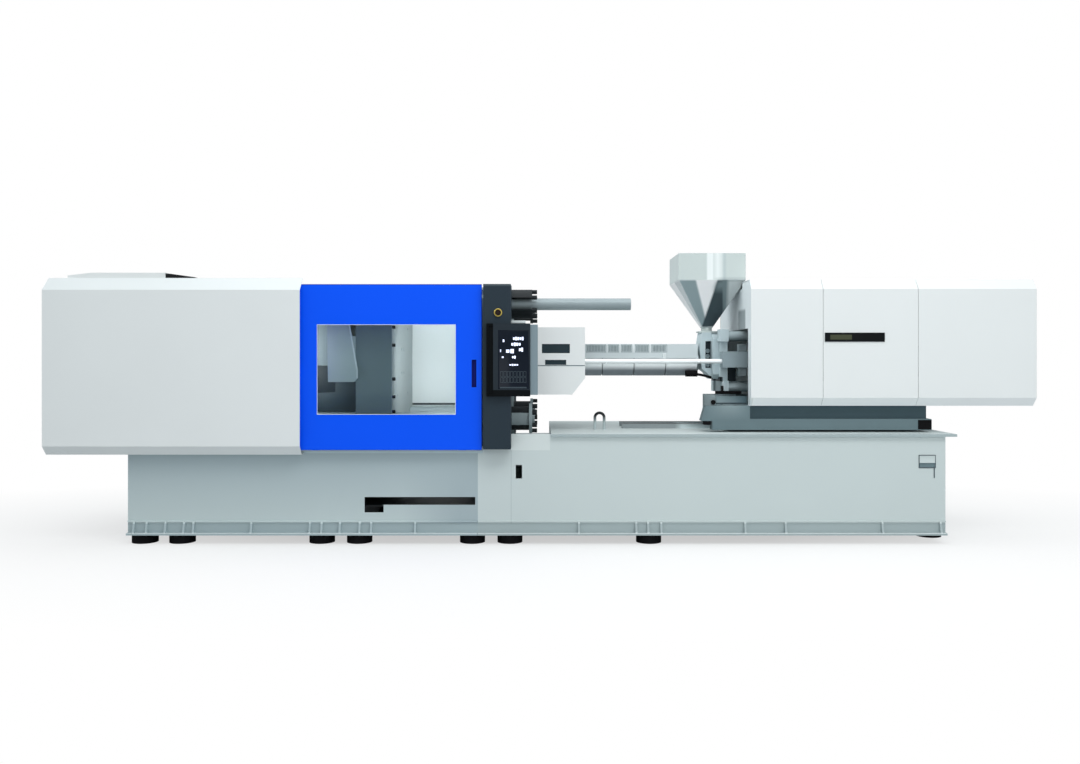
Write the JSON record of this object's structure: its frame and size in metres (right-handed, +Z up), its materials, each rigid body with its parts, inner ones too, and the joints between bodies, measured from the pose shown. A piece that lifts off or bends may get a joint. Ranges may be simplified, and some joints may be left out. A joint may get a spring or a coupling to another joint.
{
  "type": "injection moulding machine",
  "caption": "All-electric toggle-clamp injection moulding machine with sliding gates, tie bars, injection carriage, screw barrel and sheet hopper on one long welded base",
  "frame": {"origin": "on the floor, below the middle of the machine's box", "axes": "+X along the machine from the clamp end to the injection end, +Y from the operator's side to the rear, +Z up"},
  "size_m": [7.688, 1.76, 2.3],
  "materials": {
    "cover_white": "semi-gloss pale grey paint",
    "gate_blue": "semi-gloss blue paint",
    "base_grey": "satin light grey paint",
    "column_dark": "satin charcoal paint",
    "panel_black": "fine textured black",
    "screen_glass": "dark display glass",
    "window_clear": "clear polycarbonate",
    "platen_grey": "satin grey casting paint",
    "link_grey": "painted casting",
    "pin_steel": "ground steel",
    "bar_chrome": "hard chromed",
    "nut_black": "black oxide",
    "feed_grey": "satin dark grey paint",
    "jacket_white": "pale heater jackets",
    "hopper_steel": "brushed stainless",
    "pad_black": "black pads",
    "button_dark": "dark brown mushroom head",
    "motor_dark": "black motor paint"
  },
  "bodies": {
    "machine": {"clamp_base": "base_grey", "injection_base": "base_grey", "levelling_feet": "pad_black", "slide_rails": "pin_steel", "lifting_eye": "nut_black", "clamp_cover_sides": "cover_white", "clamp_cover_roof": "cover_white", "clamp_base_front_wall": "base_grey", "roof_hatch": "cover_white", "gate_rails": "feed_grey", "column_covers": "column_dark", "control_panel_housing": "panel_black", "control_panel_screen": "screen_glass", "fixed_platen": "platen_grey", "tie_bars": "bar_chrome", "platen_tie_nuts": "nut_black", "nozzle_touch_rods": "bar_chrome"},
    "front_gate": {"front_gate": "gate_blue", "front_gate_window": "window_clear"},
    "rear_gate": {"rear_gate": "cover_white"},
    "stop_button": {"stop_button": "button_dark"},
    "tail_unit": {"tail_platen": "platen_grey", "tail_pins": "pin_steel", "clamp_servo_motor": "motor_dark", "die_height_drive": "feed_grey"},
    "nut_front_upper": {"die_height_nut_front_upper": "pin_steel"},
    "nut_front_lower": {"die_height_nut_front_lower": "pin_steel"},
    "nut_rear_upper": {"die_height_nut_rear_upper": "pin_steel"},
    "nut_rear_lower": {"die_height_nut_rear_lower": "pin_steel"},
    "clamp_screw_nut": {"clamp_screw_nut": "pin_steel"},
    "upper_tail_link": {"upper_tail_link": "link_grey", "upper_link_pins": "pin_steel"},
    "upper_platen_link": {"upper_platen_link": "link_grey"},
    "upper_crosshead_link": {"upper_crosshead_link": "link_grey"},
    "lower_tail_link": {"lower_tail_link": "link_grey", "lower_link_pins": "pin_steel"},
    "lower_platen_link": {"lower_platen_link": "link_grey"},
    "lower_crosshead_link": {"lower_crosshead_link": "link_grey"},
    "crosshead": {"crosshead": "link_grey", "clamp_ball_screw": "bar_chrome"},
    "moving_platen": {"moving_platen": "platen_grey", "platen_pins": "pin_steel"},
    "ejector": {"ejector_plate": "pin_steel"},
    "purge_guard": {"purge_guard": "cover_white"},
    "carriage": {"carriage_base": "feed_grey", "feed_housing": "feed_grey", "nozzle_touch_drives": "feed_grey", "injection_tie_rods": "bar_chrome", "screw_barrel": "pin_steel", "heater_jackets": "jacket_white", "barrel_cover": "jacket_white", "hopper": "hopper_steel", "injection_cover": "cover_white", "injection_display": "panel_black", "injection_rear_plate": "feed_grey", "injection_servo_motor": "motor_dark"},
    "pusher": {"pusher_frame": "feed_grey", "plasticising_motor": "motor_dark"},
    "plasticising_screw": {"plasticising_screw": "pin_steel"},
    "injection_ball_screw": {"injection_ball_screw": "pin_steel"}
  },
  "joints": [
    {"name": "front_gate_slide", "type": "slide", "parent": "machine", "child": "front_gate", "axis": [-1, 0, 0], "range_m": [0, 1.3]},
    {"name": "rear_gate_slide", "type": "slide", "parent": "machine", "child": "rear_gate", "axis": [-1, 0, 0], "range_m": [0, 1.3]},
    {"name": "stop_button_push", "type": "slide", "parent": "machine", "child": "stop_button", "axis": [0, 1, 0], "range_m": [0, 0.008], "stiffness_N_per_m": 600, "springref_m": -0.004},
    {"name": "die_height_slide", "type": "slide", "parent": "machine", "child": "tail_unit", "axis": [1, 0, 0], "range_m": [-0.25, 0.15]},
    {"name": "nut_front_upper_turn", "type": "hinge", "parent": "tail_unit", "child": "nut_front_upper", "pos_m": [-3.05, -0.457, 1.867], "axis": [1, 0, 0], "range_deg": [-7520, 4520]},
    {"name": "nut_front_lower_turn", "type": "hinge", "parent": "tail_unit", "child": "nut_front_lower", "pos_m": [-3.05, -0.457, 0.953], "axis": [1, 0, 0], "range_deg": [-7520, 4520]},
    {"name": "nut_rear_upper_turn", "type": "hinge", "parent": "tail_unit", "child": "nut_rear_upper", "pos_m": [-3.05, 0.457, 1.867], "axis": [1, 0, 0], "range_deg": [-7520, 4520]},
    {"name": "nut_rear_lower_turn", "type": "hinge", "parent": "tail_unit", "child": "nut_rear_lower", "pos_m": [-3.05, 0.457, 0.953], "axis": [1, 0, 0], "range_deg": [-7520, 4520]},
    {"name": "toggle_fold", "type": "hinge", "parent": "tail_unit", "child": "upper_tail_link", "pos_m": [-2.53001, 0, 1.525], "axis": [0, -1, 0], "range_deg": [-36.4, 34.1]},
    {"name": "upper_knee", "type": "hinge", "parent": "upper_tail_link", "child": "upper_platen_link", "pos_m": [-2.19, 0, 1.80428], "axis": [0, -1, 0], "range_deg": [-68.7, 73.3]},
    {"name": "upper_platen_pivot", "type": "hinge", "parent": "upper_platen_link", "child": "moving_platen", "pos_m": [-1.85, 0, 1.525], "axis": [0, -1, 0], "range_deg": [-36.9, 34.6]},
    {"name": "upper_drive_pivot", "type": "hinge", "parent": "upper_tail_link", "child": "upper_crosshead_link", "pos_m": [-2.3291, 0, 1.69003], "axis": [0, -1, 0], "range_deg": [-68.7, 73.3]},
    {"name": "crosshead_pivot", "type": "hinge", "parent": "upper_crosshead_link", "child": "crosshead", "pos_m": [-2.12818, 0, 1.525], "axis": [0, -1, 0], "range_deg": [-36.9, 34.6]},
    {"name": "lower_tail_pivot", "type": "hinge", "parent": "tail_unit", "child": "lower_tail_link", "pos_m": [-2.53001, 0, 1.295], "axis": [0, -1, 0], "range_deg": [-34.6, 36.9]},
    {"name": "lower_knee", "type": "hinge", "parent": "lower_tail_link", "child": "lower_platen_link", "pos_m": [-2.19, 0, 1.01572], "axis": [0, -1, 0], "range_deg": [-73.3, 68.7]},
    {"name": "lower_drive_pivot", "type": "hinge", "parent": "lower_tail_link", "child": "lower_crosshead_link", "pos_m": [-2.3291, 0, 1.12997], "axis": [0, -1, 0], "range_deg": [-73.3, 68.7]},
    {"name": "clamp_screw_nut_turn", "type": "hinge", "parent": "tail_unit", "child": "clamp_screw_nut", "pos_m": [-3.14, 0, 1.41], "axis": [1, 0, 0], "range_deg": [-3474, 3255]},
    {"name": "ejector_slide", "type": "slide", "parent": "moving_platen", "child": "ejector", "axis": [1, 0, 0], "range_m": [0, 0.12]},
    {"name": "purge_guard_slide", "type": "slide", "parent": "machine", "child": "purge_guard", "axis": [1, 0, 0], "range_m": [0, 0.3]},
    {"name": "carriage_slide", "type": "slide", "parent": "machine", "child": "carriage", "axis": [1, 0, 0], "range_m": [-0.25, 0.1]},
    {"name": "injection_stroke", "type": "slide", "parent": "carriage", "child": "pusher", "axis": [1, 0, 0], "range_m": [-0.25, 0]},
    {"name": "plasticising_screw_turn", "type": "hinge", "parent": "pusher", "child": "plasticising_screw", "pos_m": [1.5, 0, 1.41], "axis": [1, 0, 0], "continuous": true},
    {"name": "injection_ball_screw_turn", "type": "hinge", "parent": "carriage", "child": "injection_ball_screw", "pos_m": [2.5, 0, 1.41], "axis": [1, 0, 0], "range_deg": [-3620, 20]}
  ],
  "couplings": [
    {"joint": "nut_front_upper_turn", "follows": "die_height_slide", "rad_per_m": 523.6},
    {"joint": "nut_front_lower_turn", "follows": "die_height_slide", "rad_per_m": 523.6},
    {"joint": "nut_rear_upper_turn", "follows": "die_height_slide", "rad_per_m": 523.6},
    {"joint": "nut_rear_lower_turn", "follows": "die_height_slide", "rad_per_m": 523.6},
    {"joint": "upper_knee", "follows": "toggle_fold", "ratio": -2},
    {"joint": "upper_platen_pivot", "follows": "toggle_fold", "ratio": 1},
    {"joint": "upper_drive_pivot", "follows": "toggle_fold", "ratio": -2},
    {"joint": "crosshead_pivot", "follows": "toggle_fold", "ratio": 1},
    {"joint": "lower_tail_pivot", "follows": "toggle_fold", "ratio": -1},
    {"joint": "lower_knee", "follows": "toggle_fold", "ratio": 2},
    {"joint": "lower_drive_pivot", "follows": "toggle_fold", "ratio": 2},
    {"joint": "clamp_screw_nut_turn", "follows": "toggle_fold", "ratio": 94.876},
    {"joint": "injection_ball_screw_turn", "follows": "injection_stroke", "rad_per_m": 251.33}
  ]
}
